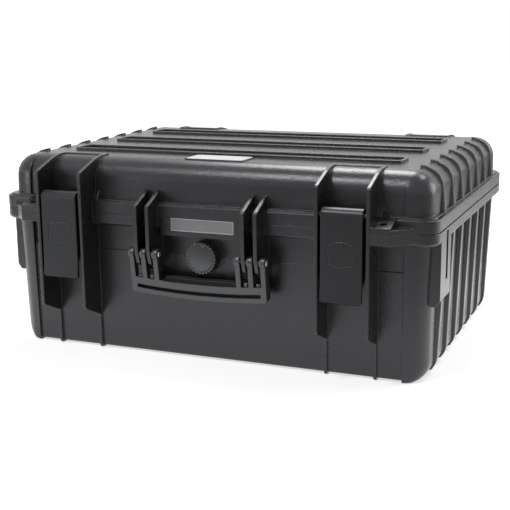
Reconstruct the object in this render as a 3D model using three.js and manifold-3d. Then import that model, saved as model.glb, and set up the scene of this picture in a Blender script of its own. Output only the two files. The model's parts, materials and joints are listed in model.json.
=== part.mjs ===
import * as THREE from "three";
import { mergeVertices } from "three/addons/utils/BufferGeometryUtils.js";
import Module from "manifold-3d";

const wasm = await Module();
wasm.setup();

// A lidded carrying case. Millimetres: X across, Y from front to back, Z up from the ground.
// The middle of the case is at X = 0 and Y = 0.
// "Inset" is measured inwards from the rim, "reach" outwards from it.
// A "rise" or a "drop" is measured from the parting line, or from the part that its name gives.

// Rims of the base and the lid
const rimWidth = 560;
const rimDepth = 421.5;
const rimCornerRadius = 20;
const partingHeight = 177;
const partingGap = 0.3;
const baseRimHeight = 15;
const lidRimHeight = 15;
const rimChamfer = 3;
const ledgeInset = 4;
const ledgeRise = 2;

// Walls of the two shells
const wallCornerRadius = 26;
const wallDraft = 0.0216;
const baseWallInset = 8;
const baseEdgeRadius = 20;
const baseEndRadius = 3.5;
const lidWallInset = 7.2;
const lidEdgeRadius = 25;
const lidHeight = 65.7;
const cavityInset = 17.6;
const cavityCornerRadius = 16;
const baseCavityFloor = 7.5;
const baseCavityEdgeRadius = 14;
const lidRoof = 6.2;
const lidCavityEdgeRadius = 20;
const smallestCorner = 1;

// Panels between the corner pads
const padStep = 241.4;
const panelRecess = 3;
const panelUnderside = 2;
const bandRecess = 1.5;
const bandDrop = 47;
const skidStart = 160;
const lidPanelStart = 175.2;

// Ribs down both sides
const ribCount = 7;
const ribPitch = 50;
const ribWidth = 11;
const baseRibInset = 3;
const baseRibEdgeRadius = 17.5;
const baseRibUnderside = 2.7;
const lidRibInset = 3.3;
const lidRibEdgeRadius = 24;
const lidRibRise = 3.2;
const ribEndInset = 34;
const ribEndRound = 4;

// Seal groove in the lid and tongue on the base
const grooveInset = 5.5;
const grooveWidth = 5;
const grooveDepth = 4.4;
const sealGap = 0.3;
const tongueInset = 14.8;
const tongueRise = 2.2;
const tongueGap = 0.4;

// Guard ribs beside the latches and the hinges
const guardThickness = 4;
const guardReach = 25;
const rearGuardReach = 27.9;
const guardSunk = 14.75;
const guardShoulderDrop = 14;
const guardFold = { inset: 10.75, drop: 1.4 };
const guardCrest = { inset: 27.75, rise: 1.9 };
const guardCrestEnd = 44.75;
const guardTip = 49.75;
const guardRootBend = { inset: 25, drop: 5.7 };
const guardRootDrop = 3.2;
const guardRootCornerDrop = 14.7;
const guardBaseBottom = 60.5;
const guardBaseTip = 44;
const guardTipInset = 13;
const guardEdgeRound = 2.5;
const crossRidgeFront = 39;
const crossRidgeBack = 46;
const crossRidgeRound = 1;
const rearLidGuardLow = 17;
const rearLidGuardFlare = 40;
const rearBaseGuardDrop = 16;
const rearBaseGuardFlareDrop = 27;

// Gussets at the feet of the front guard ribs
const gussetWidth = 6;
const gussetHeight = 11;
const gussetReach = -3.5;

// Fins that carry the handle
const finCentre = 68.95;
const finPitch = 15.7;
const finThickness = 4.65;
const finReach = 22.7;
const finShoulderRise = 16;
const finTopRise = 31;
const finWallInset = 10;
const finFold = { reach: 22.4, rise: 3.3 };
const finToe = { reach: 17.2, drop: 13.3 };
const finHeelDrop = 25.7;
const finToeRound = 3;

// Carrying handle, hung from pins through the fins
const handlePivotReach = 15.8;
const handlePivotDrop = 42.3;
const handleLean = THREE.MathUtils.degToRad(7.7);
const handlePinRadius = 2.3;
const pinClearance = 0.3;
const handleEyeRadius = 4.6;
const armStep = 15.75;
const armWidth = 6.4;
const handleThickness = 12.5;
const bandDropEnd = 28.2;
const bandHeight = 19.8;
const handleBow = 4.6;
const slotMargin = 7.9;
const slotDrop = 37.3;
const slotHeight = 4.4;
const slotDepth = 8;
const bandCornerRound = 3;
const pinOverhang = 1.9;
const handleBossRadius = 2;
const handleBossRise = 2.6;
const bowStations = 6;

// Grip behind the handle's band
const gripMargin = 3.4;
const gripTopDrop = 25.4;
const gripBottomDrop = 50;
const gripThickness = 12;
const gripRound = 5;
const gripGap = 0.3;
const gripSideTaper = 0.8;

// Latches
const latchCentre = 180.25;
const latchWidth = 48.4;
const latchSideGap = 3.55;
const latchPivot = { reach: 18, rise: 20 };
const latchPinRadius = 2.5;
const latchPinSeat = 2.4;
const leverRollRadius = 8.3;
const leverPlate = 3.2;
const leverDrop = 99;
const leverFlare = 1.6;
const leverFlareHeight = 22;
const leverRimReturn = 5;
const cheekThickness = 2.8;
const cheekDrop = 69;
const cheekDepth = 12;
const leverCornerRound = 2.5;
const hookArm = 13.5;
const hookPinRadius = 1.8;
const hookEyeRadius = 3.6;
const cheekEyeRadius = 4.1;
const hookMargin = 6.2;
const hookPlate = 3.4;
const hookLipClearance = 0.6;
const hookTipThickness = 3;
const hookTipInset = 5.2;
const hookStandOff = 0.9;
const insetTopDrop = 29;
const insetBottomDrop = 58;
const insetMargin = 8.2;
const insetWaist = 1.2;
const insetBulge = 3.2;
const insetDepth = 1.1;
const insetGap = 0.3;
const insetSteps = 6;

// Hinges at the rear
const hingeReach = 8;
const knuckleRadius = 6.5;
const knuckleCount = 5;
const knuckleGap = 0.4;
const knuckleSideGap = 1;
const knuckleWebRise = 14;
const knuckleWebStep = 4;
const knuckleSunk = 6;
const hingePinRadius = 2.5;

// Padlock lugs
const lugReach = 24.3;
const lugWidth = 23;
const lugWingWidth = 24;
const lugWingRise = 7;
const lugBackRise = 17;
const lugFrontRise = 9;
const lugDrop = 11;
const lugHoleRadius = 4;
const lugHoleStep = 12;
const lugHoleReach = 13.5;

// Strap brackets on the sides of the base
const bracketFront = -185.6;
const bracketBack = -134;
const bracketDrop = 87;
const bracketPlate = 9;
const bracketRoot = 6;
const bracketFoot = 8;
const bracketChamfer = { reach: 5, rise: 7 };
const strapPocketInset = 14;
const strapPocketFront = -165;
const strapPocketBack = -138;
const strapPocketDrop = 99;
const strapSlotFront = -158;
const strapSlotBack = -149.8;
const strapSlotDrop = 60;
const strapSlotTopDrop = 4;

// Name plate under the handle's span and label plate on the lid
const rimSkirtHalf = 55.5;
const rimSkirtDrop = 22;
const namePlate = { half: 40.8, drop: 15.7, thickness: 1, gap: 0.3, depth: 1.5 };
const label = { half: 37.5, inset: 35.75, depth: 37, round: 4, thickness: 0.9, gap: 0.3 };
const labelPad = { rise: 1.5, border: 1.2 };

// Pressure valve
const valveDrop = 45.9;
const valvePadRadius = 20.5;
const valvePadInset = 10.9;
const valveSealThickness = 1.4;
const valveSealRadius = 15.6;
const valveFlangeRadius = 15.4;
const valveFlangeThickness = 2.2;
const valveStemRadius = 7;
const valveBoreGap = 0.3;
const valveSpindleRadius = 5;
const valveSpindleLength = 6.4;
const valveNutRadius = 11.5;
const valveNutThickness = 5;
const valveNutSides = 6;
const valveNutGap = 0.3;
const valveStemTail = 1.5;
const knobRadius = 19.6;
const knobTooth = 1;
const knobTeeth = 30;
const knobReach = 4.85;
const knobSkirt = 2;
const knobFaceThickness = 3;
const knobBackGap = 0.5;
const knobHubRadius = 8;

// Loops raised on top of the lid
const loopCentres = [-112.5, -5.5, 101.5];
const loopHalfLength = 219.8;
const loopDepth = 38;
const loopRim = 4;
const loopRise = 3.5;
const loopRound = 7;

// Facets of the rounds
const cornerSteps = 5;
const edgeSteps = 5;
const cavitySteps = 3;
const curveSteps = 2;
const circleSteps = 16;
const overcut = 2;

const halfWidth = rimWidth / 2;
const halfDepth = rimDepth / 2;
const baseRimTop = partingHeight - partingGap / 2;
const lidRimBottom = partingHeight + partingGap / 2;
const baseRimBottom = partingHeight - baseRimHeight;
const lidRimTop = partingHeight + lidRimHeight;
const lidTop = partingHeight + lidHeight;
const handlePivotHeight = partingHeight - handlePivotDrop;
const latchPivotHeight = partingHeight + latchPivot.rise;
const valveHeight = partingHeight - valveDrop;
const bracketBottom = partingHeight - bracketDrop;
const lugBottom = partingHeight - lugDrop;
const guardInner = latchCentre - latchWidth / 2 - latchSideGap - guardThickness;
const guardOuter = latchCentre + latchWidth / 2 + latchSideGap + guardThickness;
const insetHalfWidth = latchWidth / 2 - insetMargin;
const lugFrontEnd = guardOuter + lugWidth;
const lugWingEnd = lugFrontEnd + lugWingWidth;
const finCentres = [finCentre - finPitch / 2, finCentre + finPitch / 2];
const armCentres = [finCentre - armStep, finCentre, finCentre + armStep];
const handleHalfWidth = finCentre + armStep + armWidth / 2;
const slotHalfLength = handleHalfWidth - slotMargin;
const gripHalfLength = finCentre - armStep - armWidth / 2 - gripMargin;
const front = -1;
const rear = 1;
const sides = [-1, 1];

const plastic = { color: 0x2a2b2d, roughness: 0.62, metalness: 0 };
const satin = { color: 0x333538, roughness: 0.42, metalness: 0 };
const rubber = { color: 0x161616, roughness: 0.9, metalness: 0 };
const steel = { color: 0xb8babd, roughness: 0.3, metalness: 1 };
const plateGrey = { color: 0x77797c, roughness: 0.5, metalness: 0 };
const labelWhite = { color: 0xe6e6e6, roughness: 0.5, metalness: 0 };

// A closed mesh becomes a solid that can be joined and cut
function solidOf(geometry) {
  const bare = geometry.clone();
  bare.deleteAttribute("normal");
  bare.deleteAttribute("uv");
  const merged = mergeVertices(bare, 1e-3);
  const mesh = new wasm.Mesh({
    numProp: 3,
    vertProperties: new Float32Array(merged.attributes.position.array),
    triVerts: new Uint32Array(merged.index.array),
  });
  return new wasm.Manifold(mesh);
}

// A solid turns back into a geometry for its mesh
function geometryOf(solid) {
  const mesh = solid.getMesh();
  const geometry = new THREE.BufferGeometry();
  geometry.setAttribute("position", new THREE.BufferAttribute(new Float32Array(mesh.vertProperties), 3));
  geometry.setIndex(new THREE.BufferAttribute(new Uint32Array(mesh.triVerts), 1));
  geometry.computeVertexNormals();
  return geometry;
}

function joined(solids) {
  return solids.reduce((whole, piece) => whole.add(piece));
}

function cutBy(solid, cutters) {
  return solid.subtract(joined(cutters));
}

// An outline through [x, y, round] corners, where round is the length cut from each side of the corner
function outline(corners) {
  const shape = new THREE.Shape();
  corners.forEach(([x, y, round = 0], index) => {
    const here = new THREE.Vector2(x, y);
    const towards = (other) => {
      const [otherX, otherY] = corners[(other + corners.length) % corners.length];
      const way = new THREE.Vector2(otherX, otherY).sub(here).normalize();
      return here.clone().addScaledVector(way, round);
    };
    const arrive = towards(index - 1);
    const leave = towards(index + 1);
    if (index === 0) {
      shape.moveTo(arrive.x, arrive.y);
    } else {
      shape.lineTo(arrive.x, arrive.y);
    }
    if (round > 0) {
      shape.quadraticCurveTo(x, y, leave.x, leave.y);
    }
  });
  shape.closePath();
  return shape;
}

function extruded(shape, from, to, right, up, along) {
  const geometry = new THREE.ExtrudeGeometry(shape, {
    depth: to - from,
    bevelEnabled: false,
    curveSegments: curveSteps,
  });
  geometry.applyMatrix4(new THREE.Matrix4().makeBasis(right, up, along));
  geometry.translate(along.x * from, along.y * from, along.z * from);
  return geometry;
}

const xAxis = new THREE.Vector3(1, 0, 0);
const yAxis = new THREE.Vector3(0, 1, 0);
const zAxis = new THREE.Vector3(0, 0, 1);
const towardsFront = new THREE.Vector3(0, -1, 0);

// A profile drawn in (Y, Z), run from one X to another
function acrossX(shape, from, to) {
  return solidOf(extruded(shape, from, to, yAxis, zAxis, xAxis));
}

// A front view drawn in (X, Z), run from one Y to another
function acrossY(shape, from, to) {
  return solidOf(extruded(shape, -to, -from, xAxis, zAxis, towardsFront));
}

// A plan drawn in (X, Y), raised from one Z to another
function acrossZ(shape, from, to) {
  return solidOf(extruded(shape, from, to, xAxis, yAxis, zAxis));
}

function rectangle(left, bottom, right, top, round = 0) {
  return outline([[left, bottom, round], [right, bottom, round], [right, top, round], [left, top, round]]);
}

function block(from, to) {
  return acrossZ(rectangle(from.x, from.y, to.x, to.y), from.z, to.z);
}

// A side profile of [reach, height, round] points on the front or the rear of the case
function sideProfile(points, end) {
  return outline(points.map(([reach, height, round]) => [end * (halfDepth + reach), height, round]));
}

function mirrored(spans) {
  return spans.flatMap(([from, to]) => [[from, to], [-to, -from]]);
}

function plates(points, spans, end) {
  return joined(spans.map(([from, to]) => acrossX(sideProfile(points, end), from, to)));
}

// A round bar or bore along X or Y, centred on the given line
function barX(radius, from, to, y, z) {
  const geometry = new THREE.CylinderGeometry(radius, radius, to - from, circleSteps);
  geometry.rotateZ(-Math.PI / 2);
  geometry.translate((from + to) / 2, y, z);
  return solidOf(geometry);
}

function barY(radius, from, to, x, z, steps = circleSteps) {
  const geometry = new THREE.CylinderGeometry(radius, radius, to - from, steps);
  geometry.translate(x, (from + to) / 2, z);
  return solidOf(geometry);
}

function barZ(radius, from, to, x, y) {
  const geometry = new THREE.CylinderGeometry(radius, radius, to - from, circleSteps);
  geometry.rotateX(Math.PI / 2);
  geometry.translate(x, y, (from + to) / 2);
  return solidOf(geometry);
}

// Rings with equal counts of points, skinned in turn and closed at both ends
function loft(rings) {
  const count = rings[0].length;
  const positions = rings.flat().flatMap((point) => [point.x, point.y, point.z]);
  const faces = [];
  for (let ring = 0; ring + 1 < rings.length; ring += 1) {
    for (let step = 0; step < count; step += 1) {
      const next = (step + 1) % count;
      const low = ring * count;
      const high = low + count;
      faces.push(low + step, low + next, high + next, low + step, high + next, high + step);
    }
  }
  const last = (rings.length - 1) * count;
  for (let step = 1; step + 1 < count; step += 1) {
    faces.push(0, step + 1, step, last, last + step, last + step + 1);
  }
  const geometry = new THREE.BufferGeometry();
  geometry.setAttribute("position", new THREE.Float32BufferAttribute(positions, 3));
  geometry.setIndex(faces);
  return solidOf(geometry);
}

// A level ring: a rectangle with round corners
function ringAt(halfX, halfY, radius, z) {
  const corners = [[1, -1], [1, 1], [-1, 1], [-1, -1]];
  return corners.flatMap(([signX, signY], quarter) => {
    const start = (quarter - 1) * Math.PI / 2;
    return Array.from({ length: cornerSteps + 1 }, (_, step) => {
      const angle = start + (step / cornerSteps) * Math.PI / 2;
      const x = signX * (halfX - radius) + radius * Math.cos(angle);
      const y = signY * (halfY - radius) + radius * Math.sin(angle);
      return new THREE.Vector3(x, y, z);
    });
  });
}

function rimRing(inset, radius, z) {
  return ringAt(halfWidth - inset, halfDepth - inset, radius, z);
}

// A tub with drafted walls and a rounded edge at its closed height, where the front and the rear
// can have a smaller round than the sides
function tub(size) {
  const { sideInset, endInset, cornerRadius, edgeRadius, closedHeight, openHeight } = size;
  const { endRadius = edgeRadius, steps = edgeSteps } = size;
  const away = Math.sign(openHeight - closedHeight);
  const ring = (height, pull, endPull) => {
    const draft = wallDraft * Math.abs(openHeight - height);
    const radius = Math.max(cornerRadius - pull, smallestCorner);
    const halfX = halfWidth - sideInset - draft - pull;
    return ringAt(halfX, halfDepth - endInset - draft - endPull, radius, height);
  };
  const rings = [];
  for (let step = 0; step <= steps; step += 1) {
    const angle = (step / steps) * Math.PI / 2;
    const rise = edgeRadius * (1 - Math.cos(angle));
    const endLeft = Math.max(endRadius - rise, 0);
    const endPull = endRadius - Math.sqrt(endRadius ** 2 - endLeft ** 2);
    rings.push(ring(closedHeight + away * rise, edgeRadius * (1 - Math.sin(angle)), endPull));
  }
  rings.push(ring(openHeight, 0, 0));
  return loft(away > 0 ? rings : rings.reverse());
}

function baseTub(sideExtra, endExtra, closedHeight) {
  return tub({
    sideInset: baseWallInset + sideExtra,
    endInset: baseWallInset + endExtra,
    cornerRadius: wallCornerRadius,
    edgeRadius: baseEdgeRadius,
    endRadius: baseEndRadius,
    closedHeight,
    openHeight: baseRimTop - rimChamfer,
  });
}

function lidTub(sideExtra, endExtra, closedHeight) {
  return tub({
    sideInset: lidWallInset + sideExtra,
    endInset: lidWallInset + endExtra,
    cornerRadius: wallCornerRadius,
    edgeRadius: lidEdgeRadius,
    closedHeight,
    openHeight: lidRimBottom + rimChamfer,
  });
}

// Ribs down both sides, as deep as the tub that holds their crests
function sideRibs(crests, low, high) {
  const inner = halfWidth - ribEndInset;
  const outer = halfWidth + overcut;
  const prisms = [];
  for (let index = 0; index < ribCount; index += 1) {
    const near = (index - (ribCount - 1) / 2) * ribPitch - ribWidth / 2;
    const far = near + ribWidth;
    for (const side of sides) {
      const plan = outline([
        [side * inner, near, ribEndRound],
        [side * outer, near],
        [side * outer, far],
        [side * inner, far, ribEndRound],
      ]);
      prisms.push(acrossZ(plan, low, high));
    }
  }
  return joined(prisms).intersect(crests);
}

function baseRibs() {
  const crests = tub({
    sideInset: baseRibInset,
    endInset: 0,
    cornerRadius: wallCornerRadius,
    edgeRadius: baseRibEdgeRadius,
    closedHeight: baseRibUnderside,
    openHeight: baseRimTop - rimChamfer,
  });
  return sideRibs(crests, 0, baseRimBottom + rimChamfer);
}

function lidRibs() {
  const crests = tub({
    sideInset: lidRibInset,
    endInset: 0,
    cornerRadius: wallCornerRadius,
    edgeRadius: lidRibEdgeRadius,
    closedHeight: lidTop + lidRibRise,
    openHeight: lidRimBottom + rimChamfer,
  });
  return sideRibs(crests, lidRimTop - ledgeRise, lidTop + lidRibRise + overcut);
}

// Spans between the corner pads and the guard ribs, where the panels are recessed
function panelSpans() {
  const outer = [guardOuter, padStep];
  const middle = [guardInner + guardThickness, guardOuter - guardThickness];
  return [...mirrored([outer, middle]), [-guardInner, guardInner]];
}

function panelSlabs(start, low, high) {
  const reach = halfDepth + overcut;
  const slab = ([from, to]) => [
    acrossZ(rectangle(from, -reach, to, -start), low, high),
    acrossZ(rectangle(from, start, to, reach), low, high),
  ];
  return joined(panelSpans().flatMap(slab));
}

const guardSpans = mirrored([
  [guardInner, guardInner + guardThickness],
  [guardOuter - guardThickness, guardOuter],
]);

const finSpans = mirrored(
  finCentres.map((centre) => [centre - finThickness / 2, centre + finThickness / 2]),
);

const sideFins = [
  [-guardSunk, lidRimBottom],
  [finReach, lidRimBottom],
  [finReach, partingHeight + finShoulderRise, guardEdgeRound],
  [-finWallInset, partingHeight + finTopRise],
  [-guardSunk, partingHeight + finTopRise],
];

// Guard ribs on the lid, folded over its edge
function lidGuards(end) {
  const reach = end === front ? guardReach : rearGuardReach;
  const foot = end === front
    ? [[-guardSunk, lidRimBottom], [reach, lidRimBottom]]
    : [[-guardSunk, lidRimBottom + rearLidGuardLow], [0, lidRimBottom + rearLidGuardLow],
      [reach, lidRimBottom + rearLidGuardFlare]];
  const crest = lidTop + guardCrest.rise;
  const root = lidTop - guardRootDrop;
  const profile = [
    ...foot,
    [reach, lidTop - guardShoulderDrop, guardEdgeRound],
    [-guardFold.inset, lidTop - guardFold.drop, guardEdgeRound],
    [-guardCrest.inset, crest, guardEdgeRound],
    [-guardCrestEnd, crest, guardEdgeRound],
    [-guardTip, root],
    [-guardRootBend.inset, lidTop - guardRootBend.drop],
    [-guardSunk, lidTop - guardRootCornerDrop],
  ];
  const ridge = [
    [-crossRidgeFront, root],
    [-crossRidgeFront, crest, crossRidgeRound],
    [-crossRidgeBack, crest, crossRidgeRound],
    [-crossRidgeBack, root],
  ];
  const ridges = plates(ridge, mirrored([[guardInner, guardOuter]]), end);
  return plates(profile, guardSpans, end).add(ridges);
}

// Guard ribs on the base, tapering into the wall
function baseGuards(end) {
  const reach = end === front ? guardReach : rearGuardReach;
  const head = end === front
    ? [[-guardSunk, baseRimTop], [reach, baseRimTop]]
    : [[-guardSunk, partingHeight - rearBaseGuardDrop], [0, partingHeight - rearBaseGuardDrop],
      [reach, partingHeight - rearBaseGuardFlareDrop]];
  const profile = [
    ...head,
    [reach, guardBaseBottom, guardEdgeRound],
    [-guardTipInset, guardBaseTip],
    [-guardSunk, guardBaseTip],
  ];
  return plates(profile, guardSpans, end);
}

function lidGussets() {
  const profile = [
    [-guardSunk, lidRimTop],
    [gussetReach, lidRimTop],
    [gussetReach, lidRimTop + ledgeRise],
    [-finWallInset, lidRimTop + gussetHeight],
    [-guardSunk, lidRimTop + gussetHeight],
  ];
  const inner = [guardInner - gussetWidth, guardInner + guardThickness / 2];
  const outer = [guardOuter - guardThickness / 2, guardOuter + gussetWidth];
  return plates(profile, mirrored([inner, outer]), front);
}

// Padlock lugs: a block beside each outer guard rib and a wing that runs back into the rim
function lugs(low, blockTops, wingTop) {
  return joined(sides.map((side) => {
    const start = guardOuter - guardThickness / 2;
    const plan = outline([
      [side * start, -(halfDepth - ledgeInset)],
      [side * start, -(halfDepth + lugReach)],
      [side * lugFrontEnd, -(halfDepth + lugReach)],
      [side * lugFrontEnd, -(halfDepth - ledgeInset)],
    ]);
    const wing = outline([
      [side * (lugFrontEnd - overcut), -(halfDepth - ledgeInset)],
      [side * (lugFrontEnd - overcut), -(halfDepth + lugReach)],
      [side * lugFrontEnd, -(halfDepth + lugReach)],
      [side * lugWingEnd, -halfDepth],
      [side * lugWingEnd, -(halfDepth - ledgeInset)],
    ]);
    const slope = sideProfile([
      [-ledgeInset - overcut, low],
      [lugReach + overcut, low],
      [lugReach, blockTops.front],
      [-ledgeInset - overcut, blockTops.back],
    ], front);
    const span = mirrored([[start - overcut, lugFrontEnd + overcut]])[side > 0 ? 0 : 1];
    const body = acrossZ(plan, low, Math.max(blockTops.front, blockTops.back));
    return body.intersect(acrossX(slope, span[0], span[1])).add(acrossZ(wing, low, wingTop));
  }));
}

function lugHoles() {
  const middle = guardOuter + lugHoleStep;
  const bottom = lugBottom - overcut;
  const top = lidRimTop + overcut;
  return sides.map((side) => (
    barZ(lugHoleRadius, bottom, top, side * middle, -(halfDepth + lugHoleReach))
  ));
}

// Interleaved knuckles of one shell, with the web that joins them to its rim
function knuckleSpans(remainder) {
  const start = guardInner + guardThickness + knuckleSideGap;
  const room = guardOuter - guardThickness - knuckleSideGap - start;
  const width = (room - (knuckleCount - 1) * knuckleGap) / knuckleCount;
  const spans = [];
  for (let index = remainder; index < knuckleCount; index += 2) {
    const from = start + index * (width + knuckleGap);
    spans.push([from, from + width]);
  }
  return mirrored(spans);
}

function knuckles(remainder, direction) {
  const y = halfDepth + hingeReach;
  const rimFace = direction > 0 ? lidRimBottom : baseRimTop;
  const web = [
    [-knuckleSunk, rimFace],
    [hingeReach, partingHeight],
    [hingeReach + knuckleRadius, partingHeight],
    [hingeReach + knuckleRadius, partingHeight + direction * knuckleWebStep],
    [knuckleWebStep, partingHeight + direction * knuckleWebRise],
    [-knuckleSunk, partingHeight + direction * knuckleWebRise],
  ];
  return joined(knuckleSpans(remainder).map(([from, to]) => {
    const round = barX(knuckleRadius, from, to, y, partingHeight);
    return round.add(acrossX(sideProfile(web, rear), from, to));
  }));
}

function hingeBores() {
  const radius = hingePinRadius + pinClearance;
  return sides.map((side) => {
    const from = guardInner + guardThickness - latchPinSeat;
    const to = guardOuter - guardThickness + latchPinSeat;
    const [start, end] = side > 0 ? [from, to] : [-to, -from];
    return barX(radius, start, end, halfDepth + hingeReach, partingHeight);
  });
}

// The strap brackets, cut away below towards the outside
function brackets() {
  return joined(sides.map((side) => {
    const root = halfWidth - bracketPlate - bracketFoot;
    const view = outline([
      [side * root, bracketBottom],
      [side * (halfWidth - bracketChamfer.reach), bracketBottom],
      [side * halfWidth, bracketBottom + bracketChamfer.rise],
      [side * halfWidth, baseRimBottom + rimChamfer],
      [side * root, baseRimBottom + rimChamfer],
    ]);
    return acrossY(view, bracketFront, bracketBack);
  }));
}

// The pocket behind each bracket, open below, so a strap can pass behind the plate
function strapPockets() {
  const bottom = partingHeight - strapPocketDrop;
  return sides.flatMap((side) => {
    const inner = side * (halfWidth - strapPocketInset);
    const behind = side * (halfWidth - bracketPlate);
    const outer = side * (halfWidth + overcut);
    return [
      acrossZ(rectangle(inner, strapPocketFront, behind, strapPocketBack), bottom, baseRimBottom),
      acrossZ(rectangle(inner, strapPocketFront, outer, strapPocketBack), bottom, bracketBottom),
    ];
  });
}

function strapSlots() {
  return sides.map((side) => acrossZ(outline([
    [side * (halfWidth - bracketPlate - bracketRoot), strapSlotFront],
    [side * (halfWidth + overcut), strapSlotFront],
    [side * (halfWidth + overcut), strapSlotBack],
    [side * (halfWidth - bracketPlate - bracketRoot), strapSlotBack],
  ]), partingHeight - strapSlotDrop, partingHeight - strapSlotTopDrop));
}

// The base: ribbed tub, recessed panels, rim, guard ribs, fins, lugs, brackets and hinge knuckles
function baseShell() {
  const below = -overcut;
  const panels = panelSlabs(skidStart, below, baseRimBottom + rimChamfer)
    .subtract(baseTub(-baseWallInset, panelRecess, panelUnderside));
  const belly = block(
    new THREE.Vector3(-padStep, -skidStart, below),
    new THREE.Vector3(padStep, skidStart, panelUnderside),
  );
  const band = acrossZ(rectangle(-padStep, -halfDepth - overcut, padStep, halfDepth + overcut),
    partingHeight - bandDrop, baseRimBottom + rimChamfer)
    .subtract(baseTub(-baseWallInset, panelRecess + bandRecess, panelUnderside));
  const walls = cutBy(baseTub(0, 0, 0), [panels, belly, band]).add(baseRibs());

  const rim = loft([
    rimRing(rimChamfer, rimCornerRadius - rimChamfer, baseRimBottom),
    rimRing(0, rimCornerRadius, baseRimBottom + rimChamfer),
    rimRing(0, rimCornerRadius, baseRimTop),
  ]);
  const tongue = loft([
    rimRing(tongueInset, cavityCornerRadius + cavityInset - tongueInset, baseRimBottom),
    rimRing(tongueInset, cavityCornerRadius + cavityInset - tongueInset, partingHeight + tongueRise),
  ]);
  const skirt = block(
    new THREE.Vector3(-rimSkirtHalf, -halfDepth, partingHeight - rimSkirtDrop),
    new THREE.Vector3(rimSkirtHalf, -halfDepth + cavityInset, baseRimBottom + rimChamfer),
  );
  const finProfile = [
    [-guardSunk, baseRimTop],
    [finReach, baseRimTop],
    [finFold.reach, handlePivotHeight + finFold.rise],
    [finToe.reach, handlePivotHeight - finToe.drop, finToeRound],
    [-finWallInset - overcut, handlePivotHeight - finHeelDrop],
    [-guardSunk, handlePivotHeight - finHeelDrop],
  ];
  const valvePad = barY(
    valvePadRadius, -(halfDepth - valvePadInset), -(halfDepth - cavityInset), 0, valveHeight,
  );
  const cavity = tub({
    sideInset: cavityInset,
    endInset: cavityInset,
    cornerRadius: cavityCornerRadius,
    edgeRadius: baseCavityEdgeRadius,
    closedHeight: baseCavityFloor,
    openHeight: partingHeight,
    steps: cavitySteps,
  });
  const mouth = loft([
    rimRing(cavityInset, cavityCornerRadius, partingHeight - overcut),
    rimRing(cavityInset, cavityCornerRadius, partingHeight + tongueRise + overcut),
  ]);
  const outside = joined([
    walls, rim, tongue, skirt, valvePad,
    baseGuards(front), baseGuards(rear),
    plates(finProfile, finSpans, front),
    lugs(lugBottom, { front: baseRimTop, back: baseRimTop }, baseRimTop),
    brackets(), knuckles(0, -1),
  ]);
  const pinBores = sides.map((side) => barX(
    handlePinRadius + pinClearance,
    side > 0 ? finCentres[0] - finThickness : -finCentres[1] - finThickness,
    side > 0 ? finCentres[1] + finThickness : -finCentres[0] + finThickness,
    -(halfDepth + handlePivotReach), handlePivotHeight,
  ));
  const seatHalf = namePlate.half + namePlate.gap;
  const seatBottom = partingHeight - namePlate.drop - namePlate.gap;
  const plateSeat = block(
    new THREE.Vector3(-seatHalf, -halfDepth - overcut, seatBottom),
    new THREE.Vector3(seatHalf, -halfDepth + namePlate.depth, partingHeight),
  );
  const valveBore = barY(
    valveStemRadius + valveBoreGap, -halfDepth, -(halfDepth - cavityInset - overcut), 0, valveHeight,
  );
  return cutBy(outside, [
    cavity, mouth, plateSeat, valveBore,
    ...pinBores, ...lugHoles(), ...strapPockets(), ...strapSlots(), ...hingeBores(),
  ]);
}

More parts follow.
